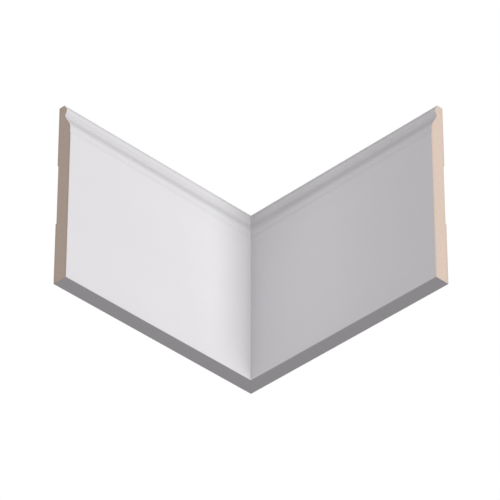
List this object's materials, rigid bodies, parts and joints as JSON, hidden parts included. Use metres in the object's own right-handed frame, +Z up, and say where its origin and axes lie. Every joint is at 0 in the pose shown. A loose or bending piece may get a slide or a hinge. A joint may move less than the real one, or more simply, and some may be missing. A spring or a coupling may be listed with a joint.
{
  "type": "skirting board internal corner",
  "caption": "Tall moulded MDF skirting board mitred into an inside room corner: rounded nose, quirk, sloping shoulder and shallow flute over a flat face, square-cut ends, relieved back.",
  "frame": {"origin": "the room corner at floor level, where the two backs and the two bottom edges meet", "axes": "+Z up; the left board runs along -Y with its back on the plane x = 0; the right board runs along +X with its back on the plane y = 0"},
  "size_m": [0.277, 0.277, 0.22],
  "materials": {
    "painted_mdf": "satin"
  },
  "bodies": {
    "root": {"left_board": "painted_mdf", "right_board": "painted_mdf"}
  },
  "joints": []
}
